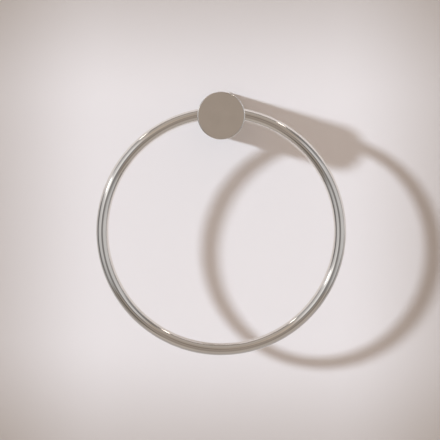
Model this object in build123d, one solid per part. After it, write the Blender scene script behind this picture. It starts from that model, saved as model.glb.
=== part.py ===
from build123d import *
import math
import os

# A towel ring: a rod bent into an open ring, held by both ends in a round post that slips over a
# concealed wall bracket. Millimetres, +Z up. The origin is the centre of the post on the wall plane,
# +Y goes into the wall, and the post stands out along -Y.

# Driving dimensions: ring
ring_radius = 83.25
rod_diameter = 8.5
ring_end_gap = 8.0
ring_end_bevel = 0.5
clamp_flat_depth = 0.6
clamp_flat_length = 5.0

# Driving dimensions: post
post_diameter = 33.0
post_projection = 72.0
post_wall = 3.5
post_front_radius = 0.8
post_back_chamfer = 0.4
bore_corner_radius = 1.5
ring_setback = 11.5
clamp_wall = 8.0
socket_clearance = 0.05
socket_end_clearance = 0.5
socket_mouth_radius = 0.25

# Driving dimensions: wall bracket
bracket_depth = 11.0
bracket_rim = 2.5
bracket_undercut = 2.25
bracket_clearance = 0.25
bracket_edge_chamfer = 0.5

# Driving dimensions: socket set screws
set_screw_diameter = 4.0
set_screw_clearance = 0.05
set_screw_key = 2.0
set_screw_key_depth = 1.8
set_screw_recess = 0.4
set_screw_mouth = 0.35
set_screw_tip_diameter = 0.8
set_screw_tip_gap = 0.2
clamp_screw_recess = 1.0
clamp_screw_tip_chamfer = 0.6
clamp_screw_tip_gap = 0.05

# Driving dimensions: wall screws
wall_screw_diameter = 4.0
wall_screw_thread_depth = 0.55
wall_screw_reach = 29.0
wall_screw_point = 5.0
wall_screw_head_diameter = 8.0
wall_screw_head_edge = 0.3
wall_screw_clearance = 0.25
countersink_clearance = 0.1
cross_recess_width = 1.3
cross_recess_span = 4.4
cross_recess_depth = 2.2
cross_recess_taper = 12.0

# Radii and levels that the pieces share
post_radius = post_diameter / 2
rod_radius = rod_diameter / 2
bore_radius = post_radius - post_wall
bracket_radius = bore_radius - bracket_clearance
set_screw_radius = set_screw_diameter / 2
tapped_radius = set_screw_radius + set_screw_clearance
ring_y = ring_setback - post_projection
bore_floor_y = ring_y + rod_radius + clamp_wall

# The ring's centre line crosses the side of the post at the height of the post's axis
ring_drop = math.sqrt(ring_radius**2 - post_radius**2)
ring_centre = Vector(0, ring_y, -ring_drop)

# Which end of a solid lies on its frame
standing = (Align.CENTER, Align.CENTER, Align.MIN)
hanging = (Align.CENTER, Align.CENTER, Align.MAX)


def on_ring(x):
    """A point of the ring's upper centre line at a distance x from the middle of the post."""
    return Vector(x, ring_y, math.sqrt(ring_radius**2 - x**2) - ring_drop)


def mirrored(solid):
    """A solid and its mirror image on the other side of the post."""
    return [solid, mirror(solid, about=Plane.YZ)]


def turned(points):
    """A turned solid about Z from an outline of (radius, height) points."""
    outline = Polyline(*[(radius, 0, height) for radius, height in points], close=True)
    return revolve(make_face(outline), axis=Axis.Z)


def key_recess():
    """The hexagonal recess of a set screw, down from the screw's outer end at z = 0."""
    hexagon = RegularPolygon(set_screw_key / 2, 6, major_radius=False)
    return extrude(hexagon, amount=-set_screw_key_depth)


# Ends of the ring, and the straight sockets that take them. A socket follows the chord of its stretch
# of the ring, is moved out by half the bow of that stretch, and is wide enough for the bow.
ring_end = on_ring(ring_end_gap / 2)
socket_chord = on_ring(post_radius) - ring_end
socket_bow = ring_radius - math.sqrt(ring_radius**2 - (socket_chord.length / 2) ** 2)
socket_direction = socket_chord.normalized()
socket_rise = Vector(-socket_direction.Z, 0, socket_direction.X) * (socket_bow / 2)
socket_radius = rod_radius + socket_bow / 2 + socket_clearance
socket_floor = ring_end + socket_rise - socket_direction * (ring_end_bevel + socket_end_clearance)

# Each clamp screw stands midway between the end of the ring and the wall of the bore
clamp_point = on_ring((ring_end.X + bore_radius) / 2)
clamp_seat_y = ring_y + rod_radius - clamp_flat_depth
clamp_screw_y = bore_floor_y - clamp_screw_recess
clamp_frame = Plane((clamp_point.X, clamp_screw_y, clamp_point.Z), x_dir=(1, 0, 0), z_dir=(0, 1, 0))

# The post's set screw stands in its underside, at the middle of the bracket's undercut
undercut_length = bracket_depth - bracket_rim
undercut_middle_radius = bracket_radius - bracket_undercut / 2
set_screw_foot = Vector(0, -undercut_length / 2, set_screw_recess - post_radius)
set_screw_frame = Plane(set_screw_foot, x_dir=(1, 0, 0), z_dir=(0, 0, -1))

# The wall screws stand one above the other, each midway between the bracket's centre and its rim
wall_screw_frames = [
    Plane((0, -bracket_depth, height), x_dir=(1, 0, 0), z_dir=(0, -1, 0))
    for height in (bracket_radius / 2, -bracket_radius / 2)
]


def make_ring():
    """The rod bent round the ring's centre, with a bevel on each end and a flat for its clamp screw."""
    end_angle = math.degrees(math.asin(ring_end.X / ring_radius))
    start = Plane(ring_end, z_dir=(ring_end - ring_centre).cross(Vector(0, -1, 0)))
    bend_axis = Axis(ring_centre, (0, 1, 0))
    rod = revolve(start * Circle(rod_radius), axis=bend_axis, revolution_arc=360 - 2 * end_angle)
    bevel = Plane(ring_end, z_dir=-start.z_dir) * Cone(
        rod_radius, rod_radius - ring_end_bevel, ring_end_bevel, align=standing
    )
    flat = Pos(clamp_point.X, clamp_seat_y, clamp_point.Z) * Box(
        clamp_flat_length, rod_diameter, rod_diameter, align=(Align.CENTER, Align.MIN, Align.CENTER)
    )
    return rod + mirrored(bevel) - mirrored(flat)


def make_post():
    """The turned post, bored from the wall side, with two ring sockets and three tapped holes."""
    outline = Polyline(
        (0, -post_projection),
        (post_radius, -post_projection),
        (post_radius, 0),
        (bore_radius, 0),
        (bore_radius, bore_floor_y),
        (0, bore_floor_y),
        close=True,
    )
    post = revolve(make_face(outline), axis=Axis.Y)
    post = fillet(post.edges().filter_by(GeomType.CIRCLE).group_by(Axis.Y)[0], post_front_radius)
    post = chamfer(post.edges().filter_by(GeomType.CIRCLE).group_by(Axis.Y)[-1], post_back_chamfer)
    rounds = post.edges().filter_by(GeomType.CIRCLE)
    post = fillet(rounds.filter_by_position(Axis.Y, bore_floor_y, bore_floor_y), bore_corner_radius)

    socket = Plane(socket_floor, z_dir=socket_direction) * Cylinder(
        socket_radius, post_diameter, align=standing
    )
    post = post - mirrored(socket)
    post = fillet(post.edges().filter_by(GeomType.BSPLINE), socket_mouth_radius)

    clamp_hole = clamp_frame * Cylinder(tapped_radius, 2 * (bore_floor_y - clamp_seat_y))
    set_screw_hole = set_screw_frame * Cylinder(tapped_radius, 2 * (post_wall + set_screw_diameter))
    set_screw_bevel = set_screw_frame * Pos(0, 0, set_screw_recess) * Cone(
        tapped_radius, tapped_radius + set_screw_mouth, set_screw_mouth, align=hanging
    )
    return post - mirrored(clamp_hole) - [set_screw_hole, set_screw_bevel]


def make_wall_bracket():
    """The turned bracket, undercut towards the wall, with two countersunk holes."""
    bracket = turned(
        [
            (0, 0),
            (bracket_radius - bracket_undercut, 0),
            (bracket_radius, undercut_length),
            (bracket_radius, bracket_depth),
            (0, bracket_depth),
        ]
    )
    bracket = chamfer(bracket.edges().group_by(Axis.Z)[-1], bracket_edge_chamfer)
    bracket = Plane((0, 0, 0), x_dir=(1, 0, 0), z_dir=(0, -1, 0)) * bracket
    sink_radius = wall_screw_head_diameter / 2 + wall_screw_head_edge + countersink_clearance
    hole = Cylinder(wall_screw_diameter / 2 + wall_screw_clearance, 2 * bracket_depth)
    sink = Cone(0, sink_radius, sink_radius, align=hanging)
    return bracket - [frame * tool for frame in wall_screw_frames for tool in (hole, sink)]


def make_post_set_screw():
    """A cone point set screw, from the underside of the post to the bracket's undercut."""
    length = -set_screw_foot.Z - undercut_middle_radius - set_screw_tip_gap
    tip_radius = set_screw_tip_diameter / 2
    screw = turned(
        [
            (0, 0),
            (set_screw_radius, 0),
            (set_screw_radius, set_screw_radius - tip_radius - length),
            (tip_radius, -length),
            (0, -length),
        ]
    )
    return set_screw_frame * (screw - key_recess())


def make_ring_clamp_screws():
    """Two flat point set screws, from below the floor of the bore to the flats on the ring's ends."""
    length = clamp_screw_y - clamp_seat_y - clamp_screw_tip_gap
    screw = turned(
        [
            (0, 0),
            (set_screw_radius, 0),
            (set_screw_radius, clamp_screw_tip_chamfer - length),
            (set_screw_radius - clamp_screw_tip_chamfer, -length),
            (0, -length),
        ]
    )
    return mirrored(clamp_frame * (screw - key_recess()))


def make_wall_screws():
    """Two countersunk wood screws with a cross recess, threaded from the wall plane inwards."""
    head_radius = wall_screw_head_diameter / 2
    thread_radius = wall_screw_diameter / 2
    neck_radius = thread_radius - wall_screw_thread_depth
    length = bracket_depth + wall_screw_reach
    screw = turned(
        [
            (0, 0),
            (head_radius, 0),
            (head_radius, -wall_screw_head_edge),
            (neck_radius, neck_radius - head_radius - wall_screw_head_edge),
            (neck_radius, -bracket_depth),
            (thread_radius, -bracket_depth),
            (thread_radius, wall_screw_point - length),
            (0, -length),
        ]
    )
    bar = Rectangle(cross_recess_span, cross_recess_width)
    cross = bar + Rot(0, 0, 90) * bar
    recess = extrude(cross, amount=-cross_recess_depth, taper=cross_recess_taper)
    return [frame * (screw - recess) for frame in wall_screw_frames]


os.makedirs("parts", exist_ok=True)
export_step(make_ring(), "parts/ring.step")
export_step(make_post(), "parts/post.step")
export_step(make_wall_bracket(), "parts/wall_bracket.step")
export_step(make_post_set_screw(), "parts/post_set_screw.step")
export_step(Compound(make_ring_clamp_screws()), "parts/ring_clamp_screws.step")
export_step(Compound(make_wall_screws()), "parts/wall_screws.step")
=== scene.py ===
import math

import bmesh
import bpy
import numpy as np
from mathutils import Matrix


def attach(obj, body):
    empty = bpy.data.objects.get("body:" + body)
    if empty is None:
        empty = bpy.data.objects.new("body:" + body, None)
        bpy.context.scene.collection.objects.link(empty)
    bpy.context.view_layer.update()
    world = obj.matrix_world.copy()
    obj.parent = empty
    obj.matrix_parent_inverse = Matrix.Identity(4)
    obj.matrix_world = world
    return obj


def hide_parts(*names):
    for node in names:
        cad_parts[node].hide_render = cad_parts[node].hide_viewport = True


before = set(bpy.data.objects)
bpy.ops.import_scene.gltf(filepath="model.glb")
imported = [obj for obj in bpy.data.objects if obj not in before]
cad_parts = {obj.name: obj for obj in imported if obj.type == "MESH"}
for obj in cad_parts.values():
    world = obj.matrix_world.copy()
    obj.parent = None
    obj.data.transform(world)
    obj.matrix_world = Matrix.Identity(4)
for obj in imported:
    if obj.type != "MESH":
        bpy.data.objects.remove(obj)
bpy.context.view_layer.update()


# Wall bracket: a disc turned from brass bar, with two countersunk holes and a flank undercut towards
# the wall. It is screwed flat to the wall and keeps its lathe marks, because the post goes over it.

# Patterns and reliefs are in metres, as the frame is
bright_brass = (0.80, 0.60, 0.28)
dull_brass = (0.62, 0.43, 0.17)
tarnish_size = 0.006
lathe_feed = 0.00018
lathe_depth = 0.000004
lathe_wander = 6.0


class Value:
    """An output socket of a node tree. Arithmetic on it adds Math nodes to the tree."""

    def __init__(self, tree, socket=None):
        self.tree = tree
        self.socket = socket

    def node(self, kind, settings, inputs, output=0):
        """Adds a node, sets its settings and then its inputs, and gives one of its outputs."""
        made = self.tree.nodes.new(kind)
        for name, setting in settings.items():
            setattr(made, name, setting)
        for name, given in inputs.items():
            if isinstance(given, Value):
                self.tree.links.new(given.socket, made.inputs[name])
            else:
                made.inputs[name].default_value = given
        return Value(self.tree, made.outputs[output] if made.outputs else None)

    def output(self, name):
        """Another output of the node that this one belongs to."""
        return Value(self.tree, self.socket.node.outputs[name])

    def math(self, operation, *others):
        """Adds a Math node with this value as its first input."""
        return self.node("ShaderNodeMath", {"operation": operation}, dict(enumerate([self, *others])))

    def __add__(self, other):
        return self.math("ADD", other)

    def __radd__(self, other):
        return self.math("ADD", other)

    def __sub__(self, other):
        return self.math("SUBTRACT", other)

    def __rsub__(self, other):
        return self.node("ShaderNodeMath", {"operation": "SUBTRACT"}, {0: other, 1: self})

    def __mul__(self, other):
        return self.math("MULTIPLY", other)

    def __rmul__(self, other):
        return self.math("MULTIPLY", other)

    def __truediv__(self, other):
        return self.math("DIVIDE", other)

    def __pow__(self, other):
        return self.math("POWER", other)

    def __abs__(self):
        return self.math("ABSOLUTE")


def new_material(name):
    """An empty node material, and the value that its nodes are added from."""
    material = bpy.data.materials.new(name)
    material.use_nodes = True
    material.node_tree.nodes.clear()
    return material, Value(material.node_tree)


def blend(share, first, second):
    """A colour between two colours, by a share from 0 to 1."""
    first, second = [given if isinstance(given, Value) else (*given, 1.0) for given in (first, second)]
    return share.node("ShaderNodeMix", {"data_type": "RGBA"}, {0: share, 6: first, 7: second}, 2)


def noise(place, size, detail=2.0):
    """Soft noise from about 0.3 to 0.7, with patches of a size in metres."""
    inputs = {"Vector": place, "Scale": 1.0 / size, "Detail": detail, "Roughness": 0.55}
    return place.node("ShaderNodeTexNoise", {}, inputs)


def relief(height, depth):
    """A normal from a height between 0 and 1 that stands for a depth in metres."""
    return height.node("ShaderNodeBump", {}, {"Strength": 1.0, "Distance": depth, "Height": height})


def metal(values, colour, roughness, normal):
    """A metal surface with a colour, a roughness and a normal, as the material's result."""
    inputs = {"Base Color": colour, "Metallic": 1.0, "Roughness": roughness, "Normal": normal}
    surface = values.node("ShaderNodeBsdfPrincipled", {}, inputs)
    values.node("ShaderNodeOutputMaterial", {}, {"Surface": surface})


turned_brass, values = new_material("turned_brass")
place = values.node("ShaderNodeTexCoord", {}, {}, "Object")
across = place.node("ShaderNodeSeparateXYZ", {}, {0: place})
inward = across.output("Y")
upward = across.output("Z")
tarnish = noise(place, tarnish_size, 4.0)
turning = (across * across + upward * upward) ** 0.5 + inward
lathe_phase = turning * (2 * math.pi / lathe_feed) + tarnish * lathe_wander
metal(
    values,
    blend(tarnish, bright_brass, dull_brass),
    0.22 + 0.2 * tarnish,
    relief(lathe_phase.math("SINE") * 0.5 + 0.5, lathe_depth),
)
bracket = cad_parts["wall_bracket"]
bracket.data.materials.clear()
bracket.data.materials.append(turned_brass)


# Wall screws: two countersunk steel screws with a cross recess and a coarse rolled thread, zinc plated.
# They go through the bracket into the wall, one above the other.

# Shapes are in millimetres
millimetre = 0.001
bracket_depth = 11.0
wall_screw_height = 6.375
wall_screw_head = 4.0
wall_screw_edge = 0.3
wall_screw_break = 0.1
wall_screw_core = 1.45
wall_screw_crest = 2.0
wall_screw_pitch = 1.8
wall_screw_length = 40.0
wall_screw_point = 5.0
cross_span = 4.4
cross_width = 1.3
cross_depth = 2.2
cross_narrowing = 0.94
wall_thread_rows = 12
screw_sides = 96
sharp_angle = math.radians(30)
merge_distance = 0.000001
zinc_grey = (0.60, 0.62, 0.64)
zinc_yellow = (0.62, 0.58, 0.46)
zinc_cloud_size = 0.003
zinc_grain_size = 0.0003
zinc_grain_depth = 0.000006
round_screw = np.radians(np.linspace(0, 360, screw_sides + 1))


def cross_outline(angle, span, width):
    """The radius of a plus sign at an angle: the longer of the reaches of its two bars."""
    cosine = np.abs(np.cos(angle)) + 1e-9
    sine = np.abs(np.sin(angle)) + 1e-9
    level = np.minimum(span / 2 / cosine, width / 2 / sine)
    upright = np.minimum(span / 2 / sine, width / 2 / cosine)
    return np.maximum(level, upright)


def thread(heights, angle, core, crest, pitch):
    """The radius of a thread: the core, and on it a ridge that climbs one pitch a turn. Core and crest
    may change with the height. The ridge has a narrow flat top in the middle of each pitch."""
    half_top = 0.045
    flank = 0.3
    phase = (heights[:, None] / pitch - angle / (2 * np.pi)) % 1.0
    ridge = np.clip(1.0 - (np.abs(phase - 0.5) - half_top) / flank, 0.0, 1.0)
    core = np.broadcast_to(core, heights.shape)[:, None]
    crest = np.broadcast_to(crest, heights.shape)[:, None]
    return core + (crest - core) * ridge


def lathe_rows(rows, angle):
    """A grid of points about Z from rows of (radius, height). A radius may change with the angle."""
    radius = np.stack([np.broadcast_to(row[0], angle.shape) for row in rows])
    height = np.stack([np.broadcast_to(row[1], angle.shape) for row in rows])
    return np.stack([radius * np.cos(angle), radius * np.sin(angle), height], -1)


def stand(grid, foot, up):
    """Moves a grid so that its origin is at the foot and its Z axis points up, with X kept."""
    depth = np.cross(up, (1, 0, 0))
    return np.array(foot) + grid @ np.array([(1, 0, 0), depth, up], float)


def solid(name, grids, material):
    """A piece from grids of points in millimetres: neighbours in a grid join as four-sided faces,
    points that coincide are merged, faces are turned outwards, and edges over 30 degrees stay sharp."""
    starts = np.cumsum([0] + [grid[..., 0].size for grid in grids])
    faces = []
    for grid, start in zip(grids, starts):
        index = start + np.arange(grid[..., 0].size).reshape(grid.shape[:2])
        corners = [index[:-1, :-1], index[:-1, 1:], index[1:, 1:], index[1:, :-1]]
        faces.append(np.stack(corners, -1).reshape(-1, 4))
    points = np.concatenate([grid.reshape(-1, 3) for grid in grids]) * millimetre
    mesh = bpy.data.meshes.new(name)
    mesh.from_pydata(points, [], np.concatenate(faces))
    merged = bmesh.new()
    merged.from_mesh(mesh)
    bmesh.ops.remove_doubles(merged, verts=merged.verts, dist=merge_distance)
    bmesh.ops.recalc_face_normals(merged, faces=merged.faces)
    merged.to_mesh(mesh)
    merged.free()
    mesh.shade_smooth()
    mesh.set_sharp_from_angle(angle=sharp_angle)
    mesh.materials.append(material)
    piece = bpy.data.objects.new(name, mesh)
    bpy.context.scene.collection.objects.link(piece)
    return piece


threaded = np.arange(-bracket_depth, -wall_screw_length, -wall_screw_pitch / wall_thread_rows)
taper = np.clip((threaded + wall_screw_length) / wall_screw_point, 0.0, 1.0)
runout = np.clip((-bracket_depth - threaded) / wall_screw_pitch, 0.0, 1.0)
screw_crest = (wall_screw_core + (wall_screw_crest - wall_screw_core) * runout) * taper
screw_radius = thread(threaded, round_screw, wall_screw_core * taper, screw_crest, wall_screw_pitch)
cross_foot = cross_outline(round_screw, cross_span - cross_narrowing, cross_width - cross_narrowing)
screw_rows = [
    (0.0, -cross_depth),
    (cross_foot, -cross_depth),
    (cross_outline(round_screw, cross_span, cross_width), 0.0),
    (wall_screw_head - wall_screw_break, 0.0),
    (wall_screw_head, -wall_screw_break),
    (wall_screw_head, -wall_screw_edge),
    (wall_screw_core, wall_screw_core - wall_screw_head - wall_screw_edge),
    *zip(screw_radius, threaded),
    (0.0, -wall_screw_length),
]
screw = lathe_rows(screw_rows, round_screw)

zinc_plate, values = new_material("zinc_plated_steel")
place = values.node("ShaderNodeTexCoord", {}, {}, "Object")
cloud = noise(place, zinc_cloud_size, 4.0)
metal(
    values,
    blend(cloud, zinc_grey, zinc_yellow),
    0.24 + 0.2 * cloud,
    relief(noise(place, zinc_grain_size), zinc_grain_depth),
)
screws = solid(
    "wall_screw_pair",
    [
        stand(screw, (0, -bracket_depth, wall_screw_height), (0, -1, 0)),
        stand(screw, (0, -bracket_depth, -wall_screw_height), (0, -1, 0)),
    ],
    zinc_plate,
)
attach(screws, "root")
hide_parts("wall_screws")


# Post: a brass cylinder turned with a flat front and a crisp rounded edge, bored out from the wall side,
# drilled for the ring's two ends, and polished and nickel plated all over.

post_radius = 16.5
post_front = -72.0
front_round = 0.8
back_chamfer = 0.4
bore_radius = 13.0
bore_floor = -48.25
bore_round = 1.5
ring_radius = 83.25
rod_radius = 4.25
ring_y = -60.5
ring_end_x = 4.0
socket_clearance = 0.05
socket_end_gap = 1.0
socket_lip = 0.25
tapped_radius = 2.05
tapped_lip = 0.35
set_screw_y = -4.25
clamp_x = 8.5
bit_overrun = 1.0
bit_stop = 2.65
light_nickel = (0.88, 0.84, 0.79)
dark_nickel = (0.78, 0.75, 0.70)
nickel_cloud_size = 0.012
nickel_haze_size = 0.0022
nickel_wave_size = 0.004
nickel_wave_depth = 0.000002

# The straight sockets in x and z: each follows the chord of its stretch of the ring, and is moved out
# by half the bow of that stretch
ring_drop = math.sqrt(ring_radius**2 - post_radius**2)
ring_end = np.array([ring_end_x, math.sqrt(ring_radius**2 - ring_end_x**2) - ring_drop])
socket_chord = np.array([post_radius, 0.0]) - ring_end
socket_along = socket_chord / np.linalg.norm(socket_chord)
socket_aside = np.array([-socket_along[1], socket_along[0]])
socket_bow = ring_radius - math.sqrt(ring_radius**2 - (socket_chord @ socket_chord) / 4)
socket_radius = rod_radius + socket_bow / 2 + socket_clearance
socket_floor = ring_end + socket_aside * socket_bow / 2 - socket_along * socket_end_gap


def turned_grid(profile, start=0.0, stop=360.0):
    """Carries a profile of (radius, y) points round the post's axis, with a point every two degrees."""
    angle = np.radians(np.linspace(start, stop, round((stop - start) / 2) + 1))
    profile = np.array(profile)[:, :, None]
    rows = np.broadcast_to(profile[:, 1], (len(profile), len(angle)))
    return np.stack([profile[:, 0] * np.cos(angle), rows, profile[:, 0] * np.sin(angle)], -1)


def quarter(centre, radius, start, stop):
    """Eleven points of an arc between two angles in degrees, in the plane of radius and y."""
    angle = np.radians(np.linspace(start, stop, 11))
    return np.stack([centre[0] + radius * np.cos(angle), centre[1] + radius * np.sin(angle)], -1)


def border(low, high, rows):
    """A closed line round half of a cylinder's side in angle and y: from the middle of its first side
    down, along the low edge, up, back along the high edge and down again, a point every two degrees."""
    over = np.radians(np.linspace(-90, 90, 91))
    up = np.linspace(low, high, rows + 1)
    middle = rows // 2
    sides = [
        np.stack([np.full(middle + 1, over[0]), up[middle::-1]], -1),
        np.stack([over, np.full(len(over), low)], -1)[1:],
        np.stack([np.full(rows + 1, over[-1]), up], -1)[1:],
        np.stack([over[::-1], np.full(len(over), high)], -1)[1:],
        np.stack([np.full(rows - middle + 1, over[0]), up[middle:][::-1]], -1)[1:],
    ]
    return np.concatenate(sides)


def round_hole(rim, edge, radius, steps):
    """The side of a cylinder between the rim of a hole and the edge line round it: straight lines in
    angle and y from each rim point to its edge point, in steps that are shorter near the rim."""
    chart = np.stack([np.arctan2(rim[:, 2], rim[:, 0]), rim[:, 1]], -1)
    share = (np.linspace(0, 1, steps + 1) ** 1.5)[:, None, None]
    lines = chart + (edge - chart) * share
    return np.stack([radius * np.cos(lines[..., 0]), lines[..., 1], radius * np.sin(lines[..., 0])], -1)


def drilled(reach, turn, floor, along, aside, centre_y, radius):
    """Where lines along a hole meet a cylinder round the Y axis. The lines stand at a reach from the
    hole's axis, turned from +Y towards aside, and the far crossing is taken."""
    start = floor + np.multiply.outer(reach * np.sin(turn), aside)
    ahead = start @ along
    length = np.sqrt(ahead**2 - (start**2).sum(-1) + radius**2) - ahead
    end = start + length[:, None] * along
    return np.stack([end[:, 0], centre_y + reach * np.cos(turn), end[:, 1]], -1)


def roll(first, corner, last):
    """A lip that rolls from one line over a corner to another, as a quadratic curve of six points."""
    share = np.linspace(0, 1, 6)[:, None, None]
    return (1 - share) ** 2 * first + 2 * share * (1 - share) * corner + share**2 * last


def mirrored(grid):
    """The grid's mirror image on the other side of the post."""
    return grid * (-1, 1, 1)


# The front of the post, with the ring's sockets in its two sides
front_start = post_front + front_round
front_stop = 2 * ring_y - front_start
front_edge = border(front_start, front_stop, rows=24)
socket_turn = np.arctan2(front_edge[:, 0] * post_radius, front_edge[:, 1] - ring_y)
socket = (socket_floor, socket_along, socket_aside, ring_y, post_radius)
lip_line = drilled(socket_radius + socket_lip, socket_turn, *socket)
mouth_line = drilled(socket_radius, socket_turn, *socket)
socket_axis = np.array([socket_along[0], 0.0, socket_along[1]])
throat_line = mouth_line - socket_lip * socket_axis
socket_end = np.stack(
    [
        socket_floor[0] + socket_radius * np.sin(socket_turn) * socket_aside[0],
        ring_y + socket_radius * np.cos(socket_turn),
        socket_floor[1] + socket_radius * np.sin(socket_turn) * socket_aside[1],
    ],
    -1,
)
socket_middle = np.broadcast_to([socket_floor[0], ring_y, socket_floor[1]], socket_end.shape)
socket_grids = [
    round_hole(lip_line, front_edge, post_radius, steps=40),
    roll(lip_line, mouth_line, throat_line),
    np.stack([throat_line, socket_end, socket_middle]),
]

# The back of the post, with the tapped hole for its set screw in the underside
back_start = 2 * set_screw_y + back_chamfer
back_stop = -back_chamfer
back_rows = 12
back_edge = border(back_start, back_stop, back_rows)
back_levels = np.linspace(back_start, back_stop, back_rows + 1)
tapped_turn = np.arctan2(back_edge[:, 0] * post_radius, back_edge[:, 1] - set_screw_y)
tapped = (np.zeros(2), np.array([1.0, 0.0]), np.array([0.0, 1.0]), set_screw_y)
tapped_rim = drilled(tapped_radius + tapped_lip, tapped_turn, *tapped, post_radius)
tapped_mouth = drilled(tapped_radius, tapped_turn, *tapped, post_radius - tapped_lip)
tapped_end = drilled(tapped_radius, tapped_turn, *tapped, bore_radius)
tapped_grids = [
    round_hole(tapped_rim, back_edge, post_radius, steps=30),
    np.stack([tapped_rim, tapped_mouth, tapped_end]),
    round_hole(tapped_end, back_edge, bore_radius, steps=30),
]
underside = np.array([(0, 0, -1), (0, 1, 0), (1, 0, 0)], float)

# Rings on the flat front, the last close to its rounded edge, keep the shading flat up to that edge
flat_radius = post_radius - front_round
front_profile = [
    (0.0, post_front),
    *[(radius, post_front) for radius in np.linspace(1.0, flat_radius - 0.05, 16)],
    *quarter((flat_radius, front_start), front_round, -90, 0),
]
side_profile = [(post_radius, y) for y in np.linspace(front_stop, back_start, 25)]
back_profile = [
    (post_radius, back_stop),
    (post_radius - back_chamfer, 0.0),
    (bore_radius + back_chamfer, 0.0),
    (bore_radius, back_stop),
]
bore_profile = [
    *[(bore_radius, y) for y in np.linspace(back_start, bore_floor + bore_round, 25)],
    *quarter((bore_radius - bore_round, bore_floor + bore_round), bore_round, 0, -90)[1:],
    (0.0, bore_floor),
]
post_grids = [
    turned_grid(front_profile),
    *socket_grids,
    *[mirrored(grid) for grid in socket_grids],
    turned_grid(side_profile),
    turned_grid([(post_radius, y) for y in back_levels], 0, 180),
    *[grid @ underside for grid in tapped_grids],
    turned_grid([(bore_radius, y) for y in back_levels], 0, 180),
    turned_grid(back_profile),
    turned_grid(bore_profile),
]

polished_nickel, values = new_material("polished_nickel")
place = values.node("ShaderNodeTexCoord", {}, {}, "Object")
metal(
    values,
    blend(noise(place, nickel_cloud_size, 3.0), light_nickel, dark_nickel),
    0.02 + 0.04 * noise(place, nickel_haze_size, 3.0),
    relief(noise(place, nickel_wave_size, 1.0), nickel_wave_depth),
)
post = solid("post_body", post_grids, polished_nickel)


def drill(piece, grid):
    """Takes a closed grid of points out of a piece, and keeps the result as the piece's mesh."""
    bit = solid("bit", [grid], polished_nickel)
    cut = piece.modifiers.new("drill", "BOOLEAN")
    cut.operation = "DIFFERENCE"
    cut.solver = "EXACT"
    cut.object = bit
    left = bpy.data.meshes.new_from_object(piece.evaluated_get(bpy.context.evaluated_depsgraph_get()))
    piece.modifiers.clear()
    piece.data = left
    left.set_sharp_from_angle(angle=sharp_angle)
    bpy.data.objects.remove(bit)


# The tapped holes for the clamp screws, from the floor of the bore into the sockets
clamp_z = math.sqrt(ring_radius**2 - clamp_x**2) - ring_drop
clamp_start = bore_floor + bit_overrun
clamp_depth = clamp_start - ring_y - bit_stop
clamp_rows = [(0.0, 0.0), (tapped_radius, 0.0), (tapped_radius, clamp_depth), (0.0, clamp_depth)]
clamp_hole = lathe_rows(clamp_rows, round_screw)
for side in (clamp_x, -clamp_x):
    drill(post, stand(clamp_hole, (side, clamp_start, clamp_z), (0, -1, 0)))
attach(post, "root")
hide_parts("post")


# Ring: a drawn brass rod bent into a circle, polished and nickel plated. Its two ends stand in the
# post's sockets, with a small bevel on each and a flat milled on the wall side for its clamp screw.

ring_end_bevel = 0.5
flat_near = 6.0
flat_far = 11.0
flat_y = -56.85
flat_step = 0.01
ring_steps = 720
rod_sides = 64

# Rows of points along the ring: one in the middle of each end, one at its bevel, and one at each step
# from end to end, with a close pair of rows at both edges of a flat
first_angle = math.asin(ring_end_x / ring_radius)
flat_edges = np.array([flat_near, flat_near + flat_step, flat_far - flat_step, flat_far])
flat_angles = np.arcsin(flat_edges / ring_radius)
along_ring = np.linspace(first_angle, 2 * np.pi - first_angle, ring_steps + 1)
along_ring = np.union1d(along_ring, np.concatenate([flat_angles, 2 * np.pi - flat_angles]))
ends = np.array([first_angle, first_angle])
ring_turn = np.concatenate([ends, along_ring, 2 * np.pi - ends])[:, None]
inner_rows = np.zeros(len(along_ring))
end_shift = np.array([ring_end_bevel, ring_end_bevel])
shift = np.concatenate([-end_shift, inner_rows, end_shift])[:, None]
end_radius = np.array([0.0, rod_radius - ring_end_bevel])
rod = np.concatenate([end_radius, inner_rows + rod_radius, end_radius[::-1]])[:, None]

# The rod's circle is carried along those rows, and cut off level in the flats
round_rod = np.radians(np.linspace(0, 360, rod_sides + 1))
reach = ring_radius + rod * np.cos(round_rod)
ring_x = reach * np.sin(ring_turn) + shift * np.cos(ring_turn)
ring_z = reach * np.cos(ring_turn) - shift * np.sin(ring_turn) - ring_drop
ring_depth = ring_y + rod * np.sin(round_rod)
row_x = np.abs(ring_radius * np.sin(ring_turn))
past_near = row_x > flat_near + flat_step / 2
before_far = row_x < flat_far - flat_step / 2
in_flat = past_near & before_far & (np.cos(ring_turn) > 0)
ring_depth = np.where(in_flat, np.minimum(ring_depth, flat_y), ring_depth)

ring = solid("ring_rod", [np.stack([ring_x, ring_depth, ring_z], -1)], polished_nickel)
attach(ring, "root")
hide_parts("ring")


# Socket set screws: stainless steel, with a hexagon socket. Two with a flat point clamp the ring's ends
# from inside the bore, and one with a cone point holds the post on its bracket from below.

set_screw_radius = 2.0
set_screw_core = 1.68
set_screw_pitch = 0.7
set_thread_rows = 10
set_thread_start = -0.3
set_end_radius = 1.9
set_end_chamfer = 0.25
key_reach = 1.0
key_depth = 1.8
key_cone = 0.3
key_mouth_radius = 1.22
key_mouth_depth = 0.12
clamp_screw_y = -49.25
clamp_screw_length = 7.55
clamp_point_radius = 1.4
clamp_point_length = 0.6
cone_screw_z = -16.1
cone_screw_length = 4.275
cone_point_radius = 0.4
cone_point_length = 1.28
light_steel = (0.58, 0.56, 0.53)
dark_steel = (0.46, 0.45, 0.43)
steel_cloud_size = 0.0015
steel_grain_size = 0.0002
steel_grain_depth = 0.000004


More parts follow.
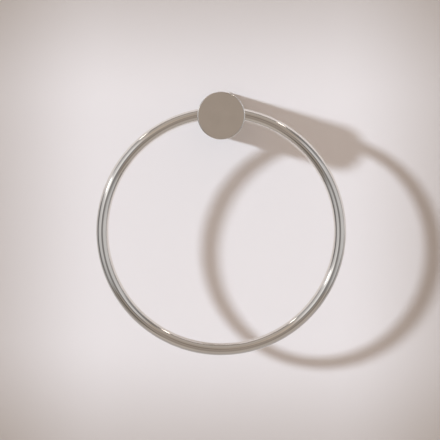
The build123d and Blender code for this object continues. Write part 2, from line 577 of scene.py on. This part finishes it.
def hexagon(angle, reach):
    """The radius of a hexagon at an angle, from the distance to its flats."""
    return reach / np.cos((angle + np.pi / 6) % (np.pi / 3) - np.pi / 6)


def set_screw(length, point_radius, point_length):
    """A grid for a set screw from its socket at z = 0 down: hexagon recess, chamfered end, thread
    and point, as rows about Z."""
    heights = np.arange(set_thread_start, point_length - length, -set_screw_pitch / set_thread_rows)
    radius = thread(heights, round_screw, set_screw_core, set_screw_radius, set_screw_pitch)
    rows = [
        (0.0, -key_depth - key_cone),
        (hexagon(round_screw, key_reach), -key_depth),
        (hexagon(round_screw, key_reach), -key_mouth_depth),
        (key_mouth_radius, 0.0),
        (set_screw_core, 0.0),
        (set_end_radius, -set_end_chamfer),
        *zip(radius, heights),
        (set_screw_core, point_length - length),
        (point_radius, -length),
        (0.0, -length),
    ]
    return lathe_rows(rows, round_screw)


stainless_steel, values = new_material("stainless_steel")
place = values.node("ShaderNodeTexCoord", {}, {}, "Object")
cloud = noise(place, steel_cloud_size, 3.0)
metal(
    values,
    blend(cloud, light_steel, dark_steel),
    0.25 + 0.25 * cloud,
    relief(noise(place, steel_grain_size), steel_grain_depth),
)
clamp_screw = set_screw(clamp_screw_length, clamp_point_radius, clamp_point_length)
clamp_screws = solid(
    "clamp_screw_pair",
    [stand(clamp_screw, (side, clamp_screw_y, clamp_z), (0, 1, 0)) for side in (clamp_x, -clamp_x)],
    stainless_steel,
)
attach(clamp_screws, "root")
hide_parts("ring_clamp_screws")

cone_screw = set_screw(cone_screw_length, cone_point_radius, cone_point_length)
cone_screw = stand(cone_screw, (0, set_screw_y, cone_screw_z), (0, 0, -1))
post_screw = solid("cone_point_screw", [cone_screw], stainless_steel)
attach(post_screw, "root")
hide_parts("post_set_screw")


# Wall: a smooth pale wall that the post stands on. Painted shade darkens it away from the towel ring
# where the camera sees it, and in what the metal mirrors, a dim glow painted on its lower part stands in
# for shade. It shows from the room's side only, so that the back of the towel ring can be looked at too,
# and lies a little in front of the post's back, so that no two faces coincide.

wall_size = 3.0
wall_y = -0.0003
wall_light = (0.855, 0.825, 0.815)
wall_dark = (0.835, 0.805, 0.795)
# The dark colour that painted shade takes the wall towards, away from the ring
painted_edge_shade = (0.135, 0.07, 0.0)
wall_cloud_size = 0.12
wall_grain_size = 0.002
wall_grain_depth = 0.00001
# Where the painted shade starts and how deep it gets, across and up and down from the ring
fade_middle = -0.079
fade_start = 0.083
fade_stop = 0.195
painted_shade_depth = 0.4
# Painted reflection: how dim the wall's lower, outer part looks to glossy rays, and where that painted
# shade starts and ends
painted_reflection_shade = (0.31, 0.305, 0.31)
dim_middle = (0.0, wall_y, -0.076)
dim_start = 0.085
dim_stop = 0.255
dim_top = 0.05
dim_foot = -0.15
dim_tilt = 0.15
dim_share = 0.75


def step(value, low, high):
    """A smooth step from 0 to 1 as a value goes from low to high."""
    inputs = {"Value": value, "From Min": low, "From Max": high}
    return value.node("ShaderNodeMapRange", {"interpolation_type": "SMOOTHSTEP"}, inputs)


wall_mesh = bpy.data.meshes.new("wall")
wall_corners = np.array([(-1, 0, -1), (1, 0, -1), (1, 0, 1), (-1, 0, 1)]) * wall_size
wall_mesh.from_pydata(wall_corners + (0, wall_y, 0), [], [(0, 1, 2, 3)])
wall_paint_and_painted_shade, values = new_material("wall_paint_and_painted_shade")
place = values.node("ShaderNodeTexCoord", {}, {}, "Object")
sideways = values.node("ShaderNodeSeparateXYZ", {}, {0: place})
upward = sideways.output("Z")
camera_ray = values.node("ShaderNodeLightPath", {}, {}, "Is Camera Ray")
glossy_ray = camera_ray.output("Is Glossy Ray")
# Painted shade: for camera rays, the wall's colour darkens towards its sides, top and bottom
side_fade = 1.0 - painted_shade_depth * step(abs(sideways), fade_start, fade_stop)
height_fade = 1.0 - painted_shade_depth * step(abs(upward - fade_middle), fade_start, fade_stop)
pale_paint = blend(noise(place, wall_cloud_size), wall_light, wall_dark)
paint = values.node(
    "ShaderNodeBsdfPrincipled",
    {},
    {
        "Base Color": blend((1.0 - side_fade * height_fade) * camera_ray, pale_paint, painted_edge_shade),
        "Roughness": 0.6,
        "Normal": relief(noise(place, wall_grain_size), wall_grain_depth),
    },
)
# Painted reflection: away from the ring and low down, glossy rays see a dim glow in place of the lit
# wall, painted shade in what the metal mirrors
off_middle = values.node(
    "ShaderNodeVectorMath", {"operation": "DISTANCE"}, {0: place, 1: dim_middle}, "Value"
)
low_wall_painted_shade = step(off_middle, dim_start, dim_stop) * step(upward + dim_tilt * sideways, dim_top, dim_foot)
painted_dim_reflection = values.node("ShaderNodeEmission", {}, {"Color": (*painted_reflection_shade, 1.0)})
painted_reflection_share = glossy_ray * low_wall_painted_shade * dim_share
shown = values.node("ShaderNodeMixShader", {}, {0: painted_reflection_share, 1: paint, 2: painted_dim_reflection})
clear = values.node("ShaderNodeBsdfTransparent", {}, {})
behind = values.node("ShaderNodeNewGeometry", {}, {}, "Backfacing")
shown = values.node("ShaderNodeMixShader", {}, {0: behind, 1: shown, 2: clear})
values.node("ShaderNodeOutputMaterial", {}, {"Surface": shown})
wall_mesh.materials.append(wall_paint_and_painted_shade)
wall = bpy.data.objects.new("wall", wall_mesh)
bpy.context.scene.collection.objects.link(wall)


# Floor: a plain pale floor with a smooth coat of paint, a metre and a half below the towel ring. The
# camera sees it nearly as pale as the room behind it, and the metal doesn't mirror it.

floor_size = 20.0
floor_height = -1.5
floor_light = (0.62, 0.59, 0.56)
floor_dark = (0.58, 0.55, 0.52)
floor_cloud_size = 0.2
floor_grain_size = 0.01
floor_grain_depth = 0.00005
floor_pale = (0.84, 0.83, 0.82)
floor_pale_share = 0.8

floor_mesh = bpy.data.meshes.new("floor")
floor_corners = np.array([(-1, -1, 0), (1, -1, 0), (1, 1, 0), (-1, 1, 0)]) * floor_size
floor_mesh.from_pydata(floor_corners + (0, 0, floor_height), [], [(0, 1, 2, 3)])
floor_paint, values = new_material("floor_paint")
place = values.node("ShaderNodeTexCoord", {}, {}, "Object")
paint = values.node(
    "ShaderNodeBsdfPrincipled",
    {},
    {
        "Base Color": blend(noise(place, floor_cloud_size, 3.0), floor_light, floor_dark),
        "Roughness": 0.7,
        "Normal": relief(noise(place, floor_grain_size), floor_grain_depth),
    },
)
pale = values.node("ShaderNodeEmission", {}, {"Color": (*floor_pale, 1.0)})
camera_ray = values.node("ShaderNodeLightPath", {}, {}, "Is Camera Ray")
shown = values.node("ShaderNodeMixShader", {}, {0: camera_ray * floor_pale_share, 1: paint, 2: pale})
values.node("ShaderNodeOutputMaterial", {}, {"Surface": shown})
floor_mesh.materials.append(floor_paint)
floor = bpy.data.objects.new("floor", floor_mesh)
bpy.context.scene.collection.objects.link(floor)
floor.visible_glossy = False


# Room: soft warm light from all round, and one small cool key light from the upper left that casts the
# shadows on the wall. The metal mirrors a room that is warm ahead and pale and cool at the sides, with
# darker and brighter places in it.

soft_light = (0.59, 0.487, 0.417)
pale_light = (0.8, 0.79, 0.78)
warm_ahead = (0.388, 0.332, 0.29)
grey_ahead = (0.445, 0.405, 0.375)
dark_beside = (0.23, 0.224, 0.226)
pale_beside = (0.60, 0.596, 0.61)
view_drop = 0.105
narrowest = 0.02
wedge_foot = (-0.66, -0.46)
wedge_top = (1.3, 0.8)
grey_away = (-0.95, -0.6)
pale_sideways = (0.18, 0.37)
band_rise = (-0.05, -0.25)
band_away = (-0.62, -0.85)
band_depth = 0.2
horizon_away = (-0.4, -0.12)
horizon_rise = (-0.75, -0.45)
horizon_depth = 0.28
left_end_sideways = (-0.85, -0.96)
left_end_rise = (0.3, 0.12)
left_end_depth = 0.65
streak_left = 0.94
streak_up = 0.342
streak_width = (0.12, 0.03)
streak_length = (-0.35, 0.45)
streak_strength = 0.5
behind_wall = (0.0, 0.05)
key_from = (-1.248, -1.0, 0.364)
key_width = 4.2
key_energy = 2.85
key_colour = (0.788, 0.875, 1.0)

# Each place: how much darker or brighter it is, its direction, and the angles where it is full and ends
dark_places = [
    (0.6, (-0.443, -0.788, -0.511), 7, 13),
    (0.35, (-0.725, -0.45, -0.536), 8, 24),
    (0.45, (-0.907, -0.174, -0.403), 6, 20),
    (0.45, (0.861, -0.259, -0.466), 6, 16),
    (0.3, (0.816, -0.087, 0.56), 15, 36),
    (0.6, (0.633, -0.5, 0.538), 8, 13),
    (0.25, (-0.72, -0.28, 0.63), 9, 22),
    (0.2, (0.354, -0.866, -0.354), 6, 16),
    (0.3, (0.0, -0.99, 0.125), 4, 8.2),
    (0.28, (0.106, -0.95, 0.19), 3, 9),
]
pale_places = [
    (0.45, (-0.37, -0.90, 0.22), 4, 22),
    (0.6, (0.274, -0.927, 0.158), 2, 8),
    (0.14, (-0.338, -0.48, -0.81), 6, 16),
    (0.12, (-0.407, -0.5, 0.712), 6, 16),
]
small_lamps = [
    (8.0, key_from, 1.0, 4.2),
    (11.0, (-0.672, -0.122, 0.7305), 1.2, 3.6),
    (14.0, (0.528, -0.087, 0.845), 1.2, 3.6),
]

world = bpy.data.worlds.new("room")
world.use_nodes = True
world.node_tree.nodes.clear()
bpy.context.scene.world = world
values = Value(world.node_tree)
toward = values.node("ShaderNodeTexCoord", {}, {}, "Generated")
sideways = values.node("ShaderNodeSeparateXYZ", {}, {0: toward})
away = sideways.output("Y")
upward = sideways.output("Z")


def patch(direction, inner, outer):
    """A soft round patch of the room: 1 within an angle in degrees of a direction, 0 beyond another."""
    direction = np.array(direction) / np.linalg.norm(direction)
    facing = toward.node(
        "ShaderNodeVectorMath", {"operation": "DOT_PRODUCT"}, {0: toward, 1: direction}, "Value"
    )
    return step(facing, math.cos(math.radians(outer)), math.cos(math.radians(inner)))


# The room's parts: the view ahead, and a wedge at each side. Heights are taken from the direction that
# the foremost line of the ring mirrors.
rise = upward - view_drop * away
slope = rise / (abs(sideways) + narrowest)
in_wedge = step(slope, *wedge_foot) * step(slope, *wedge_top)
ahead = blend(step(away, *grey_away), warm_ahead, grey_ahead)
beside = blend(step(abs(sideways), *pale_sideways), dark_beside, pale_beside)
room_colour = blend(in_wedge, ahead, beside)

# A low dark band ahead, a dark horizon along the wall, a dark end on the left, and a streak of glare
# that runs through the key light
low_band = step(rise, *band_rise) * step(away, *band_away)
horizon = step(away, *horizon_away) * step(rise, *horizon_rise)
left_end = step(sideways, *left_end_sideways) * step(rise, *left_end_rise)
along_streak = streak_up * rise - streak_left * sideways
off_streak = abs(streak_left * rise + streak_up * sideways) / (abs(along_streak) + narrowest)
streak = step(off_streak, *streak_width) * step(along_streak, *streak_length)

level = (1.0 - band_depth * low_band) * (1.0 - horizon_depth * horizon)
level = level * (1.0 - left_end_depth * left_end)
for depth, direction, inner, outer in dark_places:
    level = level * (1.0 - depth * patch(direction, inner, outer))
for strength, direction, inner, outer in pale_places + small_lamps:
    level = level + strength * patch(direction, inner, outer)
level = level + streak_strength * streak

mirrored_room = values.node("ShaderNodeBackground", {}, {"Color": room_colour, "Strength": level})
soft_room = values.node("ShaderNodeBackground", {}, {"Color": (*soft_light, 1.0), "Strength": 1.0})
pale_room = values.node("ShaderNodeBackground", {}, {"Color": (*pale_light, 1.0), "Strength": 1.0})
glossy_ray = values.node("ShaderNodeLightPath", {}, {}, "Is Glossy Ray")
light = values.node("ShaderNodeMixShader", {}, {0: glossy_ray, 1: soft_room, 2: mirrored_room})
seen = glossy_ray.output("Is Camera Ray").math("MAXIMUM", step(away, *behind_wall))
light = values.node("ShaderNodeMixShader", {}, {0: seen, 1: light, 2: pale_room})
values.node("ShaderNodeOutputWorld", {}, {"Surface": light})

key_direction = -np.array(key_from) / np.linalg.norm(key_from)
key_light = bpy.data.lights.new("key", "SUN")
key_light.angle = math.radians(key_width)
key_light.energy = key_energy
key_light.color = key_colour
key = bpy.data.objects.new("key", key_light)
key.rotation_euler = (math.acos(-key_direction[2]), 0.0, math.atan2(-key_direction[0], key_direction[1]))
key.visible_glossy = False
bpy.context.scene.collection.objects.link(key)


# Camera: a little over a metre from the wall and just above the height of the post, with a long lens.
# It looks slightly down, so that the ring stands near the middle of the picture.

camera_place = (-0.00132, -1.0647, 0.02421)
camera_lens = 117.946
camera_sensor = 36.0
look_down = 5.538
look_right = 0.03

camera = bpy.data.cameras.new("camera")
camera.sensor_width = camera_sensor
camera.lens = camera_lens
viewer = bpy.data.objects.new("camera", camera)
viewer.location = camera_place
viewer.rotation_euler = (math.radians(90 - look_down), 0.0, math.radians(-look_right))
bpy.context.scene.collection.objects.link(viewer)
bpy.context.scene.camera = viewer
bpy.context.scene.view_settings.view_transform = "Standard"
